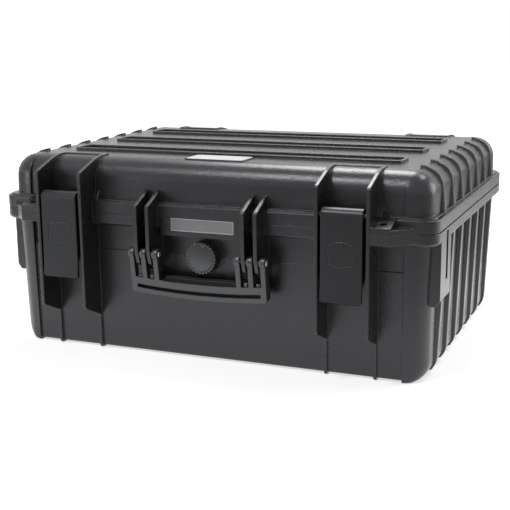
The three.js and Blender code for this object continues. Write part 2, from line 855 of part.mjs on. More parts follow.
// The lid: ribbed cover, recessed panels, rim with ledge, guard ribs, fins, lugs, loops and knuckles
function lidShell() {
  const above = lidTop + overcut;
  const panels = panelSlabs(lidPanelStart, lidRimTop, above)
    .subtract(lidTub(-lidWallInset, panelRecess, lidTop));
  const walls = lidTub(0, 0, lidTop).subtract(panels).add(lidRibs());

  const rim = loft([
    rimRing(0, rimCornerRadius, lidRimBottom),
    rimRing(0, rimCornerRadius, lidRimTop),
  ]);
  const ledge = loft([
    rimRing(ledgeInset, rimCornerRadius - ledgeInset, lidRimTop - ledgeRise),
    rimRing(ledgeInset, rimCornerRadius - ledgeInset, lidRimTop + ledgeRise),
  ]);
  const loops = loopCentres.map((centre) => {
    const low = centre - loopDepth / 2;
    const high = centre + loopDepth / 2;
    const plan = rectangle(-loopHalfLength, low, loopHalfLength, high, loopRound);
    const inside = loopHalfLength - loopRim;
    const insideRound = loopRound - loopRim / 2;
    plan.holes.push(rectangle(-inside, low + loopRim, inside, high - loopRim, insideRound));
    return acrossZ(plan, lidTop - ledgeRise, lidTop + loopRise);
  });
  const cavity = tub({
    sideInset: cavityInset,
    endInset: cavityInset,
    cornerRadius: cavityCornerRadius,
    edgeRadius: lidCavityEdgeRadius,
    closedHeight: lidTop - lidRoof,
    openHeight: lidRimBottom - overcut,
    steps: cavitySteps,
  });
  const rebateInset = tongueInset - tongueGap;
  const rebateRadius = cavityCornerRadius + cavityInset - rebateInset;
  const rebate = loft([
    rimRing(rebateInset, rebateRadius, lidRimBottom - overcut),
    rimRing(rebateInset, rebateRadius, partingHeight + tongueRise + tongueGap),
  ]);
  const grooveEnd = grooveInset + grooveWidth;
  const groove = loft([
    rimRing(grooveInset, rimCornerRadius - grooveInset, lidRimBottom - overcut),
    rimRing(grooveInset, rimCornerRadius - grooveInset, lidRimBottom + grooveDepth),
  ]).subtract(loft([
    rimRing(grooveEnd, rimCornerRadius - grooveEnd, lidRimBottom - overcut * 2),
    rimRing(grooveEnd, rimCornerRadius - grooveEnd, lidRimTop),
  ]));
  const pad = acrossZ(
    labelOutline(label.gap + labelPad.border), lidTop - ledgeRise, lidTop + labelPad.rise,
  );
  const padTop = lidTop + labelPad.rise;
  const labelSeat = acrossZ(
    labelOutline(label.gap), padTop - label.thickness - label.gap, padTop + overcut,
  );
  const outside = joined([
    walls, rim, ledge, pad, ...loops,
    lidGuards(front), lidGuards(rear), lidGussets(),
    plates(sideFins, finSpans, front),
    lugs(
      lidRimBottom,
      { front: partingHeight + lugFrontRise, back: partingHeight + lugBackRise },
      partingHeight + lugWingRise,
    ),
    knuckles(1, 1),
  ]);
  const latchBores = sides.map((side) => {
    const from = guardInner + guardThickness - latchPinSeat - pinClearance;
    const to = guardOuter - guardThickness + latchPinSeat + pinClearance;
    const [start, end] = side > 0 ? [from, to] : [-to, -from];
    const radius = latchPinRadius + pinClearance;
    return barX(radius, start, end, -(halfDepth + latchPivot.reach), latchPivotHeight);
  });
  return cutBy(outside, [
    cavity, rebate, groove, labelSeat, ...latchBores, ...lugHoles(), ...hingeBores(),
  ]);
}

// The seal lies in the lid's groove, with its lower edges chamfered
function rimSeal() {
  const outer = grooveInset + sealGap;
  const inner = grooveInset + grooveWidth - sealGap;
  const chamfer = (inner - outer) / 4;
  const ring = (inset, height) => rimRing(inset, rimCornerRadius - inset, height);
  const top = lidRimBottom + grooveDepth - sealGap;
  const whole = loft([
    ring(outer + chamfer, lidRimBottom),
    ring(outer, lidRimBottom + chamfer),
    ring(outer, top),
  ]);
  const hole = loft([
    ring(inner - chamfer * 2, lidRimBottom - chamfer),
    ring(inner, lidRimBottom + chamfer),
    ring(inner, top + overcut),
  ]);
  return whole.subtract(hole);
}

function namePlateSolid() {
  const back = -halfDepth + namePlate.depth - namePlate.gap;
  return acrossY(
    rectangle(-namePlate.half, partingHeight - namePlate.drop, namePlate.half, baseRimTop),
    back - namePlate.thickness, back,
  );
}

function labelOutline(grow) {
  const near = -halfDepth + label.inset;
  const half = label.half + grow;
  return rectangle(-half, near - grow, half, near + label.depth + grow, label.round + grow);
}

function labelSolid() {
  const top = lidTop + labelPad.rise;
  return acrossZ(labelOutline(0), top - label.thickness, top);
}

// Handle frame, drawn about its pivot: arms with eyes, bowed band and the groove along it
function bowedOutline(halfLength, top, bottom, round) {
  const drop = (x) => handleBow * (1 - (x / handleHalfWidth) ** 2);
  const upper = [];
  const lower = [];
  for (let step = 0; step <= bowStations; step += 1) {
    const x = halfLength * (2 * step / bowStations - 1);
    const end = step === 0 || step === bowStations;
    upper.unshift([x, -top - drop(x)]);
    lower.push([x, -bottom - drop(x), end ? round : 0]);
  }
  return outline([...lower, ...upper]);
}

function handleFrame() {
  const frontFace = -handleEyeRadius;
  const band = acrossY(
    bowedOutline(handleHalfWidth, bandDropEnd, bandDropEnd + bandHeight, bandCornerRound),
    frontFace, frontFace + handleThickness,
  );
  const arms = mirrored(armCentres.map((centre) => [centre - armWidth / 2, centre + armWidth / 2]));
  const armProfile = outline([
    [-handleEyeRadius, 0],
    [-handleEyeRadius, -bandDropEnd - bandHeight / 2],
    [handleEyeRadius, -bandDropEnd - bandHeight / 2],
    [handleEyeRadius, 0],
  ]);
  const armSolids = arms.map(([from, to]) => (
    acrossX(armProfile, from, to).add(barX(handleEyeRadius, from, to, 0, 0))
  ));
  const bossTop = -bandDropEnd - handleBow / 2 + handleBossRise;
  const bossFoot = rectangle(-handleBossRadius, -bandDropEnd - handleBow, handleBossRadius, bossTop);
  const bosses = finSpans.map(([from, to]) => (
    barX(handleBossRadius, from, to, 0, bossTop).add(acrossX(bossFoot, from, to))
  ));
  const groove = acrossY(
    bowedOutline(slotHalfLength, slotDrop, slotDrop + slotHeight, 0),
    frontFace - overcut, frontFace + slotDepth,
  );
  const bores = sides.map((side) => {
    const from = armCentres[0] - armWidth;
    const to = armCentres[2] + armWidth;
    const [start, end] = side > 0 ? [from, to] : [-to, -from];
    return barX(handlePinRadius + pinClearance, start, end, 0, 0);
  });
  const seatHalf = gripHalfLength + gripGap;
  const seatBottom = -gripBottomDrop - handleBow - overcut;
  const gripSeat = block(
    new THREE.Vector3(-seatHalf, gripFront() - gripGap, seatBottom),
    new THREE.Vector3(seatHalf, handleThickness, -gripTopDrop),
  );
  return cutBy(joined([band, ...armSolids, ...bosses]), [groove, gripSeat, ...bores]);
}

function gripFront() {
  return -handleEyeRadius + slotDepth + gripGap * 2;
}

// The grip is a rounded bar that follows the bow of the band
function handleGrip() {
  const near = gripFront();
  const far = near + gripThickness;
  const rings = [];
  for (let step = 0; step <= bowStations; step += 1) {
    const x = gripHalfLength * (2 * step / bowStations - 1);
    const drop = handleBow * (1 - (x / handleHalfWidth) ** 2);
    const taper = step === 0 || step === bowStations ? gripSideTaper : 0;
    const section = outline([
      [near, -gripBottomDrop - drop + taper],
      [far - taper, -gripBottomDrop - drop + taper, gripRound],
      [far - taper, -gripTopDrop - drop - taper, gripRound],
      [near, -gripTopDrop - drop - taper],
    ]).getPoints(curveSteps);
    section.pop();
    rings.push(section.map((point) => new THREE.Vector3(x, point.x, point.y)));
  }
  return loft(rings);
}

// Latch lever, drawn about its pivot: rolled top, front plate with a flared lip and two cheeks
function latchLever() {
  const frontFace = -leverRollRadius;
  const lip = -leverDrop;
  const flareTop = lip + leverFlareHeight;
  const plate = outline([
    [frontFace, 0],
    [frontFace, flareTop],
    [frontFace - leverFlare, lip, leverPlate / 3],
    [frontFace - leverFlare + leverRimReturn, lip, leverPlate / 3],
    [frontFace + leverPlate, flareTop],
    [frontFace + leverPlate, 0],
  ]);
  const half = latchWidth / 2;
  const roll = barX(leverRollRadius, -half, half, 0, 0);
  const body = acrossX(plate, -half, half).add(roll);
  const cheek = outline([
    [frontFace, cheekEyeRadius],
    [frontFace, flareTop],
    [frontFace + leverPlate, flareTop],
    [frontFace + cheekDepth, -cheekDrop],
    [hookArm - cheekEyeRadius, -cheekEyeRadius * 2],
    [hookArm, -cheekEyeRadius],
    [hookArm, cheekEyeRadius],
  ]);
  const cheekSolids = sides.map((side) => {
    const from = side > 0 ? half - cheekThickness : -half;
    const eye = barX(cheekEyeRadius, from, from + cheekThickness, hookArm, 0);
    return acrossX(cheek, from, from + cheekThickness).add(eye);
  });
  const cornerCuts = sides.map((side) => acrossY(outline([
    [side * (half - leverCornerRound), lip - overcut],
    [side * (half + overcut), lip - overcut],
    [side * (half + overcut), lip + leverCornerRound],
    [side * half, lip + leverCornerRound],
    [side * (half - leverCornerRound), lip],
  ]), frontFace - leverFlare * 2, frontFace + leverPlate * 2));
  const pocket = acrossY(
    insetOutline(insetGap), frontFace - leverFlare, frontFace + insetDepth,
  );
  const pinBore = barX(latchPinRadius + pinClearance, -half - overcut, half + overcut, 0, 0);
  const hookBore = barX(hookPinRadius + pinClearance, -half - overcut, half + overcut, hookArm, 0);
  return cutBy(joined([body, ...cheekSolids]), [...cornerCuts, pocket, pinBore, hookBore]);
}

// Barrel outline of the inset on the lever's face, wider at half height and bulged above and below
function insetOutline(grow) {
  const top = -insetTopDrop;
  const bottom = -insetBottomDrop;
  const middle = (top + bottom) / 2;
  const waist = insetHalfWidth - insetWaist + grow;
  const points = [];
  for (let step = 0; step <= insetSteps; step += 1) {
    const share = 2 * step / insetSteps - 1;
    points.push([share * waist, bottom - grow + insetBulge * share ** 2]);
  }
  points.push([insetHalfWidth + grow, middle]);
  for (let step = 0; step <= insetSteps; step += 1) {
    const share = 1 - 2 * step / insetSteps;
    points.push([share * waist, top + grow - insetBulge * share ** 2]);
  }
  points.push([-insetHalfWidth - grow, middle]);
  return outline(points);
}

function latchInset() {
  const face = -leverRollRadius;
  return acrossY(insetOutline(0), face, face + insetDepth - insetGap);
}

// Latch hook, drawn about its eye: a plate that hangs before the rim and turns in under the base's rim
function latchHook() {
  const half = latchWidth / 2 - hookMargin;
  const rimFace = latchPivot.reach - hookArm;
  const inner = rimFace - hookStandOff;
  const plateFront = inner - hookPlate;
  const lipTop = baseRimBottom - hookLipClearance - latchPivotHeight;
  const lipBottom = lipTop - hookTipThickness;
  const hook = outline([
    [plateFront, 0],
    [plateFront, lipBottom, hookTipThickness / 3],
    [rimFace + hookTipInset, lipBottom],
    [rimFace + hookTipInset, lipTop],
    [inner, lipTop],
    [inner, 0],
  ]);
  const eye = barX(hookEyeRadius, -half, half, 0, 0);
  const bore = barX(hookPinRadius + pinClearance, -half - overcut, half + overcut, 0, 0);
  return acrossX(hook, -half, half).add(eye).subtract(bore);
}

// Valve parts, each drawn about the valve's axis with Y = 0 on the pad in front of the wall
function ringGeometry(points) {
  const section = points.map(([radius, y]) => new THREE.Vector2(radius, y));
  return geometryOf(solidOf(new THREE.LatheGeometry(section, circleSteps)));
}

function valveSealGeometry() {
  const bore = valveStemRadius + valveBoreGap;
  const near = -valveBoreGap;
  const far = near - valveSealThickness;
  return ringGeometry([
    [bore, far],
    [valveSealRadius, far],
    [valveSealRadius, near],
    [bore, near],
    [bore, far],
  ]);
}

function valveBodyGeometry() {
  const flangeBack = -valveBoreGap * 2 - valveSealThickness;
  const flangeFront = flangeBack - valveFlangeThickness;
  const tail = cavityInset - valvePadInset + valveNutGap + valveNutThickness + valveStemTail;
  return ringGeometry([
    [0, flangeFront - valveSpindleLength],
    [valveSpindleRadius, flangeFront - valveSpindleLength],
    [valveSpindleRadius, flangeFront],
    [valveFlangeRadius, flangeFront],
    [valveFlangeRadius, flangeBack],
    [valveStemRadius, flangeBack],
    [valveStemRadius, tail],
    [0, tail],
  ]);
}

// Hexagonal nut inside the base, on a flat of the wall
function valveNut() {
  const draft = wallDraft * (partingHeight - valveHeight);
  const near = cavityInset - valvePadInset + valveNutGap * 2 + draft;
  const far = near + valveNutThickness;
  const nut = barY(valveNutRadius, near, far, 0, 0, valveNutSides);
  return nut.subtract(barY(valveStemRadius + valveBoreGap, near - overcut, far + overcut, 0, 0));
}

// Knurled knob: a toothed cap over the flange, turning on the spindle
function valveKnob() {
  const points = [];
  for (let tooth = 0; tooth < knobTeeth; tooth += 1) {
    const radii = [knobRadius, knobRadius, knobRadius - knobTooth];
    radii.forEach((radius, index) => {
      const angle = ((tooth + index / radii.length) / knobTeeth) * Math.PI * 2;
      points.push([radius * Math.cos(angle), radius * Math.sin(angle)]);
    });
  }
  const back = -knobBackGap;
  const face = -(knobReach + valvePadInset);
  const flangeFront = -valveBoreGap * 2 - valveSealThickness - valveFlangeThickness;
  const body = acrossY(outline(points), face, back);
  const room = barY(knobRadius - knobTooth - knobSkirt, face + knobFaceThickness, back + overcut, 0, 0);
  const hub = barY(knobHubRadius, face + knobFaceThickness / 2, flangeFront - knobBackGap, 0, 0);
  const boreEnd = flangeFront - valveSpindleLength - pinClearance;
  const bore = barY(valveSpindleRadius + pinClearance, boreEnd, back + overcut, 0, 0);
  return body.subtract(room).add(hub).subtract(bore);
}

function pinGeometry(radius, length) {
  const geometry = new THREE.CylinderGeometry(radius, radius, length, circleSteps);
  geometry.rotateZ(Math.PI / 2);
  return geometry;
}

// Meshes with their own materials, placed in the groups that move together
function mesh(name, geometry, look) {
  const made = new THREE.Mesh(geometry, new THREE.MeshStandardMaterial(look));
  made.name = name;
  return made;
}

function placed(object, x, y, z) {
  object.position.set(x, y, z);
  return object;
}

const group = new THREE.Group();
const lid = new THREE.Group();
group.add(lid);

group.add(mesh("base_shell", geometryOf(baseShell()), plastic));
group.add(mesh("front_name_plate", geometryOf(namePlateSolid()), plateGrey));
lid.add(mesh("lid_shell", geometryOf(lidShell()), plastic));
lid.add(mesh("rim_seal", geometryOf(rimSeal()), rubber));
lid.add(mesh("lid_label_plate", geometryOf(labelSolid()), labelWhite));

const handle = placed(new THREE.Group(), 0, -(halfDepth + handlePivotReach), handlePivotHeight);
handle.rotation.x = handleLean;
handle.add(mesh("carry_handle", geometryOf(handleFrame()), satin));
handle.add(mesh("handle_grip", geometryOf(handleGrip()), rubber));
group.add(handle);

const valve = placed(new THREE.Group(), 0, -(halfDepth - valvePadInset), valveHeight);
valve.add(mesh("valve_body", valveBodyGeometry(), plastic));
valve.add(mesh("valve_seal", valveSealGeometry(), rubber));
valve.add(mesh("valve_nut", geometryOf(valveNut()), plastic));
valve.add(mesh("valve_knob", geometryOf(valveKnob()), plastic));
group.add(valve);

const handlePinStart = armCentres[0] - armWidth / 2 - pinOverhang;
const handlePinEnd = armCentres[2] + armWidth / 2 + pinOverhang;
const handlePinLength = handlePinEnd - handlePinStart;
const handlePinMiddle = (handlePinStart + handlePinEnd) / 2;
const latchPinLength = guardOuter - guardInner - guardThickness * 2 + latchPinSeat * 2;
const hingePinLength = latchPinLength - pinClearance * 2;
for (const side of sides) {
  const hand = side > 0 ? "right" : "left";
  const pin = (name, radius, length) => mesh(`${name}_${hand}`, pinGeometry(radius, length), steel);

  const handlePin = pin("handle_pin", handlePinRadius, handlePinLength);
  const handlePinY = -(halfDepth + handlePivotReach);
  group.add(placed(handlePin, side * handlePinMiddle, handlePinY, handlePivotHeight));

  const hingePin = pin("hinge_pin", hingePinRadius, hingePinLength);
  group.add(placed(hingePin, side * latchCentre, halfDepth + hingeReach, partingHeight));

  const latchY = -(halfDepth + latchPivot.reach);
  const latch = placed(new THREE.Group(), side * latchCentre, latchY, latchPivotHeight);
  latch.add(pin("latch_pin", latchPinRadius, latchPinLength));
  latch.add(mesh(`latch_lever_${hand}`, geometryOf(latchLever()), satin));
  latch.add(mesh(`latch_inset_${hand}`, geometryOf(latchInset()), satin));
  const hook = placed(new THREE.Group(), 0, hookArm, 0);
  hook.add(mesh(`latch_hook_${hand}`, geometryOf(latchHook()), plastic));
  hook.add(pin("latch_hook_pin", hookPinRadius, latchWidth));
  latch.add(hook);
  lid.add(latch);
}

export default group;
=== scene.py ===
import json
import math

import bmesh
import bpy
from mathutils import Matrix, Vector


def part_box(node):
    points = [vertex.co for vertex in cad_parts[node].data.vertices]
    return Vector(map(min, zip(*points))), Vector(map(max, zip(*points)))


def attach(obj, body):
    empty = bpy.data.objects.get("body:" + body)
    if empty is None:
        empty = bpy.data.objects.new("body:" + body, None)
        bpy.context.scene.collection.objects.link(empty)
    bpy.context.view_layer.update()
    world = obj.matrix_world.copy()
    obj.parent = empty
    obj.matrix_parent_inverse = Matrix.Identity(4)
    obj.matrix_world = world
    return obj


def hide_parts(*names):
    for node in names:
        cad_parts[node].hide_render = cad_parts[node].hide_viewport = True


# A lidded equipment case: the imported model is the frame, and every visible piece is dressed here
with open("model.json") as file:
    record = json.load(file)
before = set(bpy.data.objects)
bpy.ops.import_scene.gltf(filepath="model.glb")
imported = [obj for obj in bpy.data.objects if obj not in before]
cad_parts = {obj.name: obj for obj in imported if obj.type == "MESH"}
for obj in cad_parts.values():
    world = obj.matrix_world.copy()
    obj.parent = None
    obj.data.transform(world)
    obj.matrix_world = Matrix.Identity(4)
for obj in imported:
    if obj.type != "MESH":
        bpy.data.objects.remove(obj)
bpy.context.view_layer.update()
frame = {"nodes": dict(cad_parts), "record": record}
nodes = frame["nodes"]
bodies = frame["record"]["behaviour"]["bodies"]
bodyOf = {node: body for body, members in bodies.items() for node in members}
mm = 0.001
print("frame loaded:", len(nodes), "nodes")

# Camera: where the photographer stood, in metres; its angles in degrees, its lens in millimetres
camera = {
    "place": (0.51679, -1.29865, 0.40322),
    "yaw": 22.429,
    "pitch": 12.613,
    "roll": -0.531,
    "lens": 73.316,
    "sensor": 36,
    "farthest": 50,
}


def setCamera():
    yaw = math.radians(camera["yaw"])
    pitch = math.radians(camera["pitch"])
    level = Vector((math.cos(yaw), math.sin(yaw), 0))
    flat = Vector((-math.sin(yaw), math.cos(yaw), 0))
    ahead = flat * math.cos(pitch) - Vector((0, 0, math.sin(pitch)))
    roll = Matrix.Rotation(-math.radians(camera["roll"]), 3, ahead)
    right = roll @ level
    up = roll @ level.cross(ahead)
    data = bpy.data.cameras.new("camera")
    data.sensor_fit = "HORIZONTAL"
    data.sensor_width = camera["sensor"]
    data.lens = camera["lens"]
    data.clip_end = camera["farthest"]
    eye = bpy.data.objects.new("camera", data)
    bpy.context.scene.collection.objects.link(eye)
    facing = Matrix((right, up, -ahead)).transposed().to_4x4()
    eye.matrix_world = Matrix.Translation(Vector(camera["place"])) @ facing
    bpy.context.scene.camera = eye


setCamera()
print("camera set")


def newMaterial(name):
    material = bpy.data.materials.new(name)
    material.use_nodes = True
    tree = material.node_tree
    tree.nodes.clear()
    return material, tree.nodes, tree.links


def addNode(made, kind, values=None):
    node = made.new(kind)
    for socket, value in (values or {}).items():
        node.inputs[socket].default_value = value
    return node


def addMath(made, operation):
    node = addNode(made, "ShaderNodeMath")
    node.operation = operation
    return node


def finishedObject(bm, name, materials, sharpAngle=32):
    limit = math.radians(sharpAngle)
    for face in bm.faces:
        face.smooth = True
    for edge in bm.edges:
        edge.smooth = len(edge.link_faces) == 2 and edge.calc_face_angle(math.pi) < limit
    mesh = bpy.data.meshes.new(name)
    bm.to_mesh(mesh)
    bm.free()
    for material in materials:
        mesh.materials.append(material)
    piece = bpy.data.objects.new(name, mesh)
    bpy.context.scene.collection.objects.link(piece)
    return piece


# Floor: pale, and white to the camera. Its glow has two values, the first near the case, where it
# leaves room for the shadow. Its shine is what the case mirrors, and fades far off
ground = {
    "half": 9,
    "colour": (0.8, 0.8, 0.8),
    "glow": (0.6, 0.95),
    "shine": 1,
    "reach": (0.38, 0.84),
    "stretch": (0.6, 1, 1),
    "shift": (0.21, 0, 0),
}


def floorMaterial():
    material, made, links = newMaterial("paleFloor")
    diffuse = addNode(made, "ShaderNodeBsdfDiffuse", {"Color": (*ground["colour"], 1)})
    emission = addNode(made, "ShaderNodeEmission")
    both = addNode(made, "ShaderNodeAddShader")
    output = addNode(made, "ShaderNodeOutputMaterial")
    path = addNode(made, "ShaderNodeLightPath")
    place = addNode(made, "ShaderNodeTexCoord")
    stretch = addNode(made, "ShaderNodeMapping", {
        "Scale": ground["stretch"], "Location": ground["shift"],
    })
    away = addNode(made, "ShaderNodeVectorMath")
    away.operation = "LENGTH"
    shine = addNode(made, "ShaderNodeMapRange", {
        "From Min": ground["reach"][0], "From Max": ground["reach"][1],
        "To Min": ground["shine"], "To Max": 0,
    })
    shine.interpolation_type = "SMOOTHSTEP"
    glow = addNode(made, "ShaderNodeMapRange", {
        "From Min": ground["shine"], "From Max": 0,
        "To Min": ground["glow"][0], "To Max": ground["glow"][1],
    })
    mirrored = addMath(made, "MULTIPLY")
    strength = addMath(made, "MULTIPLY_ADD")
    links.new(place.outputs["Object"], stretch.inputs["Vector"])
    links.new(stretch.outputs["Vector"], away.inputs[0])
    links.new(away.outputs["Value"], shine.inputs["Value"])
    links.new(shine.outputs["Result"], glow.inputs["Value"])
    links.new(shine.outputs["Result"], mirrored.inputs[0])
    links.new(path.outputs["Is Glossy Ray"], mirrored.inputs[1])
    links.new(path.outputs["Is Camera Ray"], strength.inputs[0])
    links.new(glow.outputs["Result"], strength.inputs[1])
    links.new(mirrored.outputs[0], strength.inputs[2])
    links.new(strength.outputs[0], emission.inputs["Strength"])
    links.new(diffuse.outputs[0], both.inputs[0])
    links.new(emission.outputs[0], both.inputs[1])
    links.new(both.outputs[0], output.inputs["Surface"])
    return material


def layFloor():
    bm = bmesh.new()
    bmesh.ops.create_grid(bm, x_segments=1, y_segments=1, size=ground["half"])
    floor = finishedObject(bm, "floor", [floorMaterial()])


# Studio: white surroundings that light the case only a little, and soft lamps in metres and watts
studio = {
    "surroundings": (1, 1, 1, 1),
    "worldLight": 0.15,
    "lamps": [
        {"name": "lampAbove", "place": (-0.25, 0.75, 1.75), "aim": (0, -0.1, 0.2),
         "size": 0.9, "power": 25},
        {"name": "lampRibs", "place": (0.85, 0.5, 1.75), "aim": (0.2, 0, 0.2),
         "size": 0.35, "power": 9},
        {"name": "lampFront", "place": (-0.35, -1.05, 1.45), "aim": (0, -0.2, 0.2),
         "size": 0.35, "power": 11},
        {"name": "lampRight", "place": (1.7, 0.95, 0.6), "aim": (0.2, 0, 0.1),
         "size": 1.1, "power": 15},
        {"name": "lampLeft", "place": (-1.7, -1.65, 0.3), "aim": (0, -0.2, 0.1),
         "size": 0.6, "power": 6.5},
    ],
}


def setWorld():
    world = bpy.data.worlds.new("studio")
    bpy.context.scene.world = world
    world.use_nodes = True
    made, links = world.node_tree.nodes, world.node_tree.links
    made.clear()
    light = addNode(made, "ShaderNodeBackground", {
        "Color": studio["surroundings"], "Strength": studio["worldLight"],
    })
    seen = addNode(made, "ShaderNodeBackground", {
        "Color": studio["surroundings"], "Strength": 1,
    })
    path = addNode(made, "ShaderNodeLightPath")
    direct = addMath(made, "MAXIMUM")
    anySeen = addMath(made, "MAXIMUM")
    mix = addNode(made, "ShaderNodeMixShader")
    output = addNode(made, "ShaderNodeOutputWorld")
    links.new(path.outputs["Is Camera Ray"], direct.inputs[0])
    links.new(path.outputs["Is Glossy Ray"], direct.inputs[1])
    links.new(direct.outputs[0], anySeen.inputs[0])
    links.new(path.outputs["Is Transmission Ray"], anySeen.inputs[1])
    links.new(anySeen.outputs[0], mix.inputs["Fac"])
    links.new(light.outputs["Background"], mix.inputs[1])
    links.new(seen.outputs["Background"], mix.inputs[2])
    links.new(mix.outputs["Shader"], output.inputs["Surface"])


def setLamp(lamp):
    data = bpy.data.lights.new(lamp["name"], "AREA")
    data.shape = "DISK"
    data.size = lamp["size"]
    data.energy = lamp["power"]
    holder = bpy.data.objects.new(lamp["name"], data)
    bpy.context.scene.collection.objects.link(holder)
    holder.location = lamp["place"]
    aim = Vector(lamp["aim"]) - Vector(lamp["place"])
    holder.rotation_euler = aim.to_track_quat("-Z", "Y").to_euler()


layFloor()
setWorld()
for lamp in studio["lamps"]:
    setLamp(lamp)
bpy.context.scene.view_settings.view_transform = "Standard"
print("studio set")

# Finishes: linear colours; grain, its depth and the softened edge in millimetres
finishes = {
    "shellPlastic": {
        "colour": (0.0105, 0.0108, 0.0114), "roughness": 0.27, "shine": 0.5,
        "grain": 1.9, "grainDepth": 0.33, "edge": 1.1, "slot": "case_plastic",
    },
    # lever, satin and knob plastics are copies of one satin plastic: the lever copy is darker and
    # the handle and knob copies lighter, painted shade and painted light matched to how each part
    # is lit
    "leverPlastic": {
        "colour": (0.0075, 0.0077, 0.0082), "roughness": 0.36, "shine": 0.38,
        "grain": 0.9, "grainDepth": 0.02, "edge": 0.9, "slot": "satin_plastic",
    },
    "satinPlastic": {
        "colour": (0.018, 0.0184, 0.0194), "roughness": 0.34, "shine": 0.7,
        "grain": 0.9, "grainDepth": 0.02, "edge": 0.9, "slot": "satin_plastic",
    },
    "knobPlastic": {
        "colour": (0.015, 0.0154, 0.0164), "roughness": 0.22, "shine": 0.75,
        "grain": 0.9, "grainDepth": 0.02, "edge": 0.2, "slot": "satin_plastic",
    },
    # inset rim: a lighter colour on the latch insets' rounded edges, painted highlight
    "insetRimHighlight": {
        "colour": (0.07, 0.072, 0.076), "roughness": 0.25, "shine": 0.8,
        "grain": 0.9, "grainDepth": 0.01, "edge": 0.3, "slot": "satin_plastic",
    },
    "gripRubber": {
        "colour": (0.016, 0.016, 0.017), "roughness": 0.6, "shine": 0.4,
        "grain": 0.9, "grainDepth": 0.05, "edge": 0.6, "slot": "grip_rubber",
    },
    "sealRubber": {
        "colour": (0.012, 0.012, 0.012), "roughness": 0.7, "shine": 0.4,
        "grain": 0.9, "grainDepth": 0.03, "edge": 0.3, "slot": "seal_rubber",
    },
    "plateGrey": {
        "colour": (0.2, 0.2, 0.205), "roughness": 0.36, "shine": 0.5,
        "grain": 0.8, "grainDepth": 0.01, "edge": 0.3, "slot": "plate_grey",
    },
    # plate frame: lighter than the plate, painted highlight on the name plate's border
    "plateFrameHighlight": {
        "colour": (0.4, 0.4, 0.41), "roughness": 0.28, "shine": 0.6,
        "grain": 0.8, "grainDepth": 0.01, "edge": 0.2, "slot": "plate_grey",
    },
    "labelWhite": {
        "colour": (0.5, 0.5, 0.495), "roughness": 0.35, "shine": 0.5,
        "grain": 1.2, "grainDepth": 0.005, "edge": 0.2, "slot": "label_white",
    },
}

# Moulding: the soft clouds in every finish's colour and gloss, and how its grain is drawn
moulding = {
    "clouds": {"Scale": 14, "Detail": 4},
    "cloudSpan": (0.3, 0.7),
    "cloudShade": (0.85, 1.15),
    "cloudGloss": 0.05,
    "grain": {"Detail": 2, "Roughness": 0.6},
    "edgeSamples": 6,
    "shineColour": (0.94, 0.96, 1, 1),
}


def mouldedPlastic(name):
    look = finishes[name]
    material, made, links = newMaterial(name)
    shader = addNode(made, "ShaderNodeBsdfPrincipled", {
        "Specular IOR Level": look["shine"], "Specular Tint": moulding["shineColour"],
    })
    output = addNode(made, "ShaderNodeOutputMaterial")
    place = addNode(made, "ShaderNodeTexCoord")

    clouds = addNode(made, "ShaderNodeTexNoise", moulding["clouds"])
    tint = addNode(made, "ShaderNodeValToRGB")
    stops = zip(tint.color_ramp.elements, moulding["cloudSpan"], moulding["cloudShade"])
    for stop, position, shade in stops:
        stop.position = position
        stop.color = (*[part * shade for part in look["colour"]], 1)
    gloss = addNode(made, "ShaderNodeMapRange", {
        "To Min": look["roughness"] - moulding["cloudGloss"],
        "To Max": look["roughness"] + moulding["cloudGloss"],
    })

    grain = addNode(made, "ShaderNodeTexNoise", {
        **moulding["grain"], "Scale": 1 / (look["grain"] * mm),
    })
    softened = addNode(made, "ShaderNodeBevel", {"Radius": look["edge"] * mm})
    softened.samples = moulding["edgeSamples"]
    bump = addNode(made, "ShaderNodeBump", {"Strength": 1, "Distance": look["grainDepth"] * mm})

    links.new(place.outputs["Object"], clouds.inputs["Vector"])
    links.new(clouds.outputs["Fac"], tint.inputs["Fac"])
    links.new(tint.outputs["Color"], shader.inputs["Base Color"])
    links.new(clouds.outputs["Fac"], gloss.inputs["Value"])
    links.new(gloss.outputs["Result"], shader.inputs["Roughness"])
    links.new(place.outputs["Object"], grain.inputs["Vector"])
    links.new(grain.outputs["Fac"], bump.inputs["Height"])
    links.new(softened.outputs["Normal"], bump.inputs["Normal"])
    links.new(bump.outputs["Normal"], shader.inputs["Normal"])
    links.new(shader.outputs["BSDF"], output.inputs["Surface"])
    return material


# Steel of the pins, drawn along their length: plain, or dark on the latch pins, painted shade for
# the dark gap beside the levers
steels = {
    "pinSteel": {"low": (0.5, 0.5, 0.51), "high": (0.68, 0.68, 0.69), "gloss": (0.25, 0.4)},
    # latch pins: near black, painted shade for the dark gap beside the levers
    "pinPaintedShade": {"low": (0.05, 0.05, 0.052), "high": (0.08, 0.08, 0.082), "gloss": (0.4, 0.5)},
}
drawing = {"Scale": 900}
drawnAlong = {"Scale": (0.05, 1, 1)}


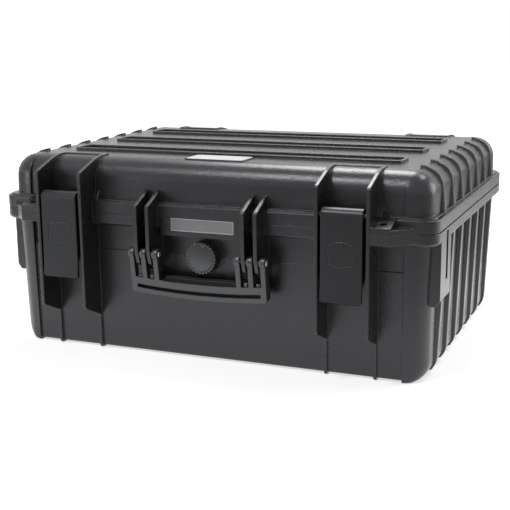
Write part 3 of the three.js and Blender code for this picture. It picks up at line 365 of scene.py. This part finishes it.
def turnedSteel(name):
    steel = steels[name]
    material, made, links = newMaterial(name)
    shader = addNode(made, "ShaderNodeBsdfPrincipled", {"Metallic": 1})
    output = addNode(made, "ShaderNodeOutputMaterial")
    place = addNode(made, "ShaderNodeTexCoord")
    stretch = addNode(made, "ShaderNodeMapping", drawnAlong)
    drawn = addNode(made, "ShaderNodeTexNoise", drawing)
    tint = addNode(made, "ShaderNodeValToRGB")
    tint.color_ramp.elements[0].color = (*steel["low"], 1)
    tint.color_ramp.elements[1].color = (*steel["high"], 1)
    gloss = addNode(made, "ShaderNodeMapRange", {
        "To Min": steel["gloss"][0], "To Max": steel["gloss"][1],
    })
    links.new(place.outputs["Object"], stretch.inputs["Vector"])
    links.new(stretch.outputs["Vector"], drawn.inputs["Vector"])
    links.new(drawn.outputs["Fac"], tint.inputs["Fac"])
    links.new(tint.outputs["Color"], shader.inputs["Base Color"])
    links.new(drawn.outputs["Fac"], gloss.inputs["Value"])
    links.new(gloss.outputs["Result"], shader.inputs["Roughness"])
    links.new(shader.outputs["BSDF"], output.inputs["Surface"])
    return material


looks = {name: mouldedPlastic(name) for name in finishes}
looks.update({name: turnedSteel(name) for name in steels})
slotOf = {name: finishes[name]["slot"] for name in finishes}
slotOf.update({name: "pin_steel" for name in steels})
print("finishes made:", len(looks))

# Tolerances in millimetres: vertices that are one, on one plane, and one at a turned solid's pole.
# Faces within "flat" degrees are one, and edges over "sharp" degrees are rounded
tolerance = {"merge": 0.01, "plane": 0.02, "pole": 0.002, "flat": 0.4, "sharp": 35}
bentOver = 0.6  # in radians: an edge as sharp as this is a corner of a rib, a fin or a rim


def mergedCopy(node):
    bm = bmesh.new()
    bm.from_mesh(nodes[node].data)
    bmesh.ops.remove_doubles(bm, verts=bm.verts, dist=tolerance["merge"] * mm)
    bmesh.ops.dissolve_limit(bm, angle_limit=math.radians(tolerance["flat"]), verts=bm.verts,
                             edges=bm.edges)
    return bm


def roundOff(bm, edges, width, segments, clamped=True):
    rounded = bmesh.ops.bevel(bm, geom=edges, offset=width * mm, offset_type="OFFSET",
                              segments=segments, profile=0.5, affect="EDGES",
                              clamp_overlap=clamped, material=-1)
    return rounded["faces"]


# Strap bracket: its foot, which the side rib runs up to. The wall leans out by its slope
bracketFoot = {"from": 78, "to": 89.95, "outside": 264, "near": 0.1, "slope": 0.0218}


def closeBracketFoot(bm):
    gain = (bracketFoot["to"] - bracketFoot["from"]) * mm
    for vert in bm.verts:
        lies = abs(vert.co.z - bracketFoot["from"] * mm) < bracketFoot["near"] * mm
        if lies and abs(vert.co.x) > bracketFoot["outside"] * mm:
            vert.co.z += gain
            vert.co.x += math.copysign(gain * bracketFoot["slope"], vert.co.x)


# Side ribs: where they stand, how their flanks slope from foot to crest, and how high they rise
sideRibs = {
    "pitch": 50,
    "count": 7,
    "half": 5.5,
    "from": 243,
    "near": 0.03,
    "rise": 3.1,
    "highest": 9.3,
    "crest": 0.86,
    "foot": 1.12,
    "round": 1.9,
    "fillet": 1.3,
}


def isFoot(vert):
    return any(not edge.is_convex for edge in vert.link_edges)


def ribMoves(bm):
    reach = sideRibs["half"] * mm
    first = -(sideRibs["count"] - 1) / 2
    middles = [(first + index) * sideRibs["pitch"] * mm for index in range(sideRibs["count"])]
    moves = {}
    for vert in bm.verts:
        if abs(vert.co.x) < sideRibs["from"] * mm:
            continue
        for middle in middles:
            if abs(abs(vert.co.y - middle) - reach) < sideRibs["near"] * mm:
                share = sideRibs["foot"] if isFoot(vert) else sideRibs["crest"]
                moves[vert] = middle + (vert.co.y - middle) * share
    return moves


def lowerCrests(moves):
    rise = sideRibs["rise"] * mm
    feet = [vert for vert in moves if isFoot(vert)]
    lowered = {}
    for vert in moves:
        beside = [foot for foot in feet if abs(foot.co.y - vert.co.y) < sideRibs["near"] * mm
                  and foot.co.x * vert.co.x > 0]
        if vert in feet or not beside:
            continue
        foot = min(beside, key=lambda other: (other.co - vert.co).length)
        height = (vert.co - foot.co).length
        if rise < height < sideRibs["highest"] * mm:
            lowered[vert] = foot.co + (vert.co - foot.co) * rise / height
    for vert, place in lowered.items():
        vert.co = place


def slopeRibs(bm):
    moves = ribMoves(bm)
    corners = [edge for edge in bm.edges if all(vert in moves for vert in edge.verts)
               and edge.calc_face_angle(0) > bentOver
               and abs(edge.verts[0].co.y - edge.verts[1].co.y) < sideRibs["near"] * mm]
    crests = [edge for edge in corners if edge.is_convex]
    hollows = [edge for edge in corners if not edge.is_convex]
    lowerCrests(moves)
    for vert, y in moves.items():
        vert.co.y = y
    roundOff(bm, crests, sideRibs["round"], segments=3, clamped=False)
    stillThere = [edge for edge in hollows if edge.is_valid]
    roundOff(bm, stillThere, sideRibs["fillet"], segments=2)
    print("  rib edges rounded:", len(crests), len(hollows))


# Where the shells meet: faces within "gap" of that height open along the sides, and out there and
# beyond the rim, edges within "sharp" of it stay sharp
parting = {"height": 177, "rim": 211.5, "side": 279.5, "gap": 0.3, "open": 0.8, "sharp": 1}


def openSides(bm):
    for vert in bm.verts:
        above = vert.co.z - parting["height"] * mm
        if abs(above) < parting["gap"] * mm and abs(vert.co.x) > parting["side"] * mm:
            vert.co.z += math.copysign(parting["open"] * mm, above)


# Rim of the lid: its upper outer edge, which is rounder than the rest
rimEdge = {"height": 192, "near": 0.05, "round": 1.5}


def roundRim(bm):
    upper = [edge for edge in bm.edges
             if all(abs(vert.co.z - rimEdge["height"] * mm) < rimEdge["near"] * mm
                    for vert in edge.verts)
             and edge.is_convex and edge.calc_face_angle(0) > bentOver]
    roundOff(bm, upper, rimEdge["round"], segments=3)
    print("  rim edges rounded:", len(upper))


# Fins and guard ribs: the planes of their sides, and how round their long edges are
noses = [
    {"planes": (58.775, 63.425, 74.475, 79.125), "from": 200, "round": 1.75},
    {"planes": (148.5, 152.5, 208, 212), "from": 150, "round": 1.4},
]
noseHeights = {"above": 50, "levelAbove": 200, "level": 0.1}  # level edges lower down stay sharp


def standsFree(edge):
    low, high = sorted(vert.co.z for vert in edge.verts)
    steep = high - low > noseHeights["level"] * mm
    return high > noseHeights["above"] * mm and (steep or low > noseHeights["levelAbove"] * mm)


def roundNoses(bm, nose):
    def onNose(vert):
        onPlane = any(abs(abs(vert.co.x) - plane * mm) < tolerance["plane"] * mm
                      for plane in nose["planes"])
        return onPlane and abs(vert.co.y) > nose["from"] * mm

    front = [edge for edge in bm.edges if all(onNose(vert) for vert in edge.verts)
             and abs(edge.verts[0].co.x - edge.verts[1].co.x) < tolerance["plane"] * mm
             and edge.is_convex and edge.calc_face_angle(0) > bentOver and standsFree(edge)]
    roundOff(bm, front, nose["round"], segments=3)
    print("  nose edges rounded:", len(front))


def atParting(vert):
    outside = abs(vert.co.y) > parting["rim"] * mm or abs(vert.co.x) > parting["side"] * mm
    return abs(vert.co.z - parting["height"] * mm) < parting["sharp"] * mm and outside


def roundEdges(bm, width):
    limit = math.radians(tolerance["sharp"])
    sharp = [edge for edge in bm.edges
             if len(edge.link_faces) == 2 and edge.is_convex and edge.calc_face_angle(0) > limit
             and edge.calc_length() > 2 * width * mm
             and not any(atParting(vert) for vert in edge.verts)]
    rounded = roundOff(bm, sharp, width, segments=2, clamped=False)
    print("  edges rounded:", len(sharp))
    return rounded


def dress(piece, look, *named):
    weigh = piece.modifiers.new("weigh", "WEIGHTED_NORMAL")
    weigh.keep_sharp = True
    weigh.weight = 100  # the largest face decides
    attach(piece, bodyOf[named[0]])
    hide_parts(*named)
    return piece


# Pieces taken over from the frame, with how round their edges are. A shell also gets the forms
# above, and "rim" is the finish of the rounded edges where it is another one: on the latch insets
# a lighter colour, painted highlight along their edges
takenOver = {
    "base_shell": {"look": "shellPlastic", "round": 0.8, "shell": True},
    "lid_shell": {"look": "shellPlastic", "round": 0.8, "shell": True},
    "rim_seal": {"look": "sealRubber"},
    "carry_handle": {"look": "satinPlastic", "round": 0.9},
    "handle_grip": {"look": "gripRubber", "round": 0.8},
    "valve_body": {"look": "shellPlastic", "round": 0.5},
    "valve_seal": {"look": "sealRubber", "round": 0.3},
    "valve_nut": {"look": "shellPlastic", "round": 0.5},
    "latch_lever_left": {"look": "leverPlastic", "round": 0.8},
    "latch_lever_right": {"look": "leverPlastic", "round": 0.8},
    "latch_inset_left": {"look": "leverPlastic", "round": 0.45, "rim": "insetRimHighlight"},
    "latch_inset_right": {"look": "leverPlastic", "round": 0.45, "rim": "insetRimHighlight"},
    "latch_hook_left": {"look": "leverPlastic", "round": 0.6},
    "latch_hook_right": {"look": "leverPlastic", "round": 0.6},
}


def takeOver(node, wish):
    bm = mergedCopy(node)
    if "shell" in wish:
        closeBracketFoot(bm)
        slopeRibs(bm)
        openSides(bm)
        roundRim(bm)
        for nose in noses:
            roundNoses(bm, nose)
    used = [looks[wish["look"]]]
    rounded = roundEdges(bm, wish["round"]) if "round" in wish else []
    # on the latch insets the rim finish is a lighter colour, painted highlight along the edges
    if "rim" in wish:
        used.append(looks[wish["rim"]])
        for face in rounded:
            face.material_index = 1
    piece = finishedObject(bm, f"{node}_dressed", used)
    return dress(piece, wish["look"], node)


for node, wish in takenOver.items():
    takeOver(node, wish)
print("pieces dressed:", len(takenOver))


def middleOf(node):
    low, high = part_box(node)
    return (Vector(low) + Vector(high)) / 2


# A closed turned solid: (radius, along) stations in millimetres, spun about an axis
def turned(stations, centre, axis, steps):
    bm = bmesh.new()
    axis = Vector(axis).normalized()
    out = Vector((0, 0, 1))
    verts = [bm.verts.new(centre + out * radius * mm + axis * along * mm)
             for radius, along in stations]
    edges = [bm.edges.new(pair) for pair in zip(verts, verts[1:])]
    bmesh.ops.spin(bm, geom=verts + edges, cent=centre, axis=axis, angle=math.tau, steps=steps,
                   use_merge=True)
    bmesh.ops.remove_doubles(bm, verts=bm.verts, dist=tolerance["pole"] * mm)
    bmesh.ops.recalc_face_normals(bm, faces=bm.faces)
    return bm


# Valve knob: a toothed rim, a groove round its face and a low dome. "gap" is the part of each
# tooth's turn that is cut away, never below "toothRoot"
knob = {
    "node": "valve_knob",
    "look": "knobPlastic",
    "teeth": 26,
    "toothDepth": 1.4,
    "toothRoot": 17.6,
    "gap": (0.3, 0.8),
    "steps": 104,
    "sharpAngle": 38,
    "inside": [(0, -12), (16.8, -12)],
    "rim": [(16.8, 0), (18.6, 0), (19.4, -0.4), (19.6, -0.9), (19.6, -14.2), (19.45, -14.8),
            (19.05, -15.1)],
    "face": [(17.4, -15.2), (17, -15.2), (16.4, -14.5), (15.6, -14.5), (15.2, -15), (9, -15.5),
             (0, -15.6)],
}


def makeKnob():
    low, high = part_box(knob["node"])
    centre = middleOf(knob["node"])
    centre.y = high[1]
    stations = [*knob["inside"], *knob["rim"], *knob["face"]]
    bm = turned(stations, centre, (0, 1, 0), knob["steps"])
    gapStart, gapEnd = knob["gap"]
    for vert in bm.verts:
        arm = Vector((vert.co.x - centre.x, 0, vert.co.z - centre.z))
        cut = min(knob["toothDepth"], arm.length / mm - knob["toothRoot"])
        turn = (math.atan2(arm.z, arm.x) / math.tau * knob["teeth"]) % 1
        if cut > 0 and gapStart < turn < gapEnd:
            vert.co -= arm.normalized() * cut * mm
    piece = finishedObject(bm, "knob_turned", [looks[knob["look"]]], knob["sharpAngle"])
    return dress(piece, knob["look"], knob["node"])


makeKnob()

# Pins: turned bars. Their ends are domed by shares of the head's radius and of its length
pins = {
    "handle_pin": {"radius": 2.3, "head": 3.3, "headLength": 1.3, "look": "pinSteel"},
    "hinge_pin": {"radius": 2.5, "head": 2.5, "headLength": 0.6, "look": "pinSteel"},
    "latch_pin": {"radius": 2.5, "head": 2.5, "headLength": 0.6, "look": "pinPaintedShade"},
    "latch_hook_pin": {"radius": 1.8, "head": 1.8, "headLength": 0.5, "look": "pinSteel"},
}
pinEnds = {
    "step": 0.1,
    "dome": [(0.97, 0.4), (0.75, 0.85)],
    "top": 0.35,
    "steps": 32,
    "sharpAngle": 40,
}


def makePin(name, hand):
    wish = pins[name]
    node = f"{name}_{hand}"
    low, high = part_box(node)
    half = (high[0] - low[0]) / 2 / mm
    head, headLength = wish["head"], wish["headLength"]
    start = half - headLength
    dome = [(head * share, start + headLength * along) for share, along in pinEnds["dome"]]
    end = [(wish["radius"], start), (head, start + pinEnds["step"]), *dome,
           (head * pinEnds["top"], half), (0, half)]
    stations = [*[(radius, -along) for radius, along in reversed(end)], *end]
    bm = turned(stations, middleOf(node), (1, 0, 0), pinEnds["steps"])
    piece = finishedObject(bm, f"{node}_turned", [looks[wish["look"]]], pinEnds["sharpAngle"])
    return dress(piece, wish["look"], node)


for hand in ("left", "right"):
    for name in pins:
        makePin(name, hand)

# Collars moulded round the handle's eyes
collars = {
    "look": "satinPlastic",
    "centres": (53.2, 68.95, 84.7),
    "pivot": (-226.55, 134.7),
    "radius": 6.7,
    "bore": 3.4,
    "half": 3.7,
    "round": 1,
    "roundMiddle": 0.3,
    "chamfer": 0.4,
    "steps": 32,
    "sharpAngle": 40,
}


def makeCollars():
    radius, bore, half = collars["radius"], collars["bore"], collars["half"]
    chamfer = collars["chamfer"]
    full = collars["round"]
    part = full * collars["roundMiddle"]
    end = [(bore, half - chamfer), (bore + chamfer, half), (radius - full, half),
           (radius - part, half - part), (radius, half - full)]
    start = [(out, -along) for out, along in end]
    stations = [*start, *reversed(end), start[0]]
    bm = bmesh.new()
    for side in (-1, 1):
        for x in collars["centres"]:
            centre = Vector((side * x, *collars["pivot"])) * mm
            collar = turned(stations, centre, (1, 0, 0), collars["steps"])
            scratch = bpy.data.meshes.new("collar")
            collar.to_mesh(scratch)
            collar.free()
            bm.from_mesh(scratch)
            bpy.data.meshes.remove(scratch)
    piece = finishedObject(bm, "handle_collars", [looks[collars["look"]]], collars["sharpAngle"])
    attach(piece, "handle")


makeCollars()

# Name plate and label: bare thin plates with a raised border. The name plate's border takes a
# lighter finish, painted highlight along its edges; the label's border keeps the label's white
plates = {
    "front_name_plate": {
        "look": "plateGrey", "frame": "plateFrameHighlight", "facing": (0, -1, 0),
        "border": 0.9, "step": 0.3, "sunk": 0.35, "edge": 0.2,
    },
    "lid_label_plate": {
        "look": "labelWhite", "frame": "labelWhite", "facing": (0, 0, 1),
        "border": 1, "step": 0.3, "sunk": 0.1, "edge": 0.2,
    },
}
plateFaces = {"facing": 0.99, "corner": 1.2}  # how straight the front faces, and the rim's angle


def makePlate(node):
    wish = plates[node]
    bm = mergedCopy(node)
    facing = Vector(wish["facing"])
    front = [face for face in bm.faces if face.normal.dot(facing) > plateFaces["facing"]]
    border = bmesh.ops.inset_region(bm, faces=front, thickness=wish["border"] * mm,
                                    use_even_offset=True)
    step = bmesh.ops.inset_region(bm, faces=front, thickness=wish["step"] * mm,
                                  depth=-wish["sunk"] * mm, use_even_offset=True)
    # the border faces take the frame finish: on the name plate a lighter colour, painted highlight
    for face in border["faces"] + step["faces"]:
        face.material_index = 1
    rims = [edge for edge in bm.edges if len(edge.link_faces) == 2 and edge.is_convex
            and edge.calc_face_angle(0) > plateFaces["corner"]]
    roundOff(bm, rims, wish["edge"], segments=2)
    piece = finishedObject(bm, f"{node}_framed", [looks[wish["look"]], looks[wish["frame"]]])
    return dress(piece, wish["look"], node)


for node in plates:
    makePlate(node)
print("small pieces made")
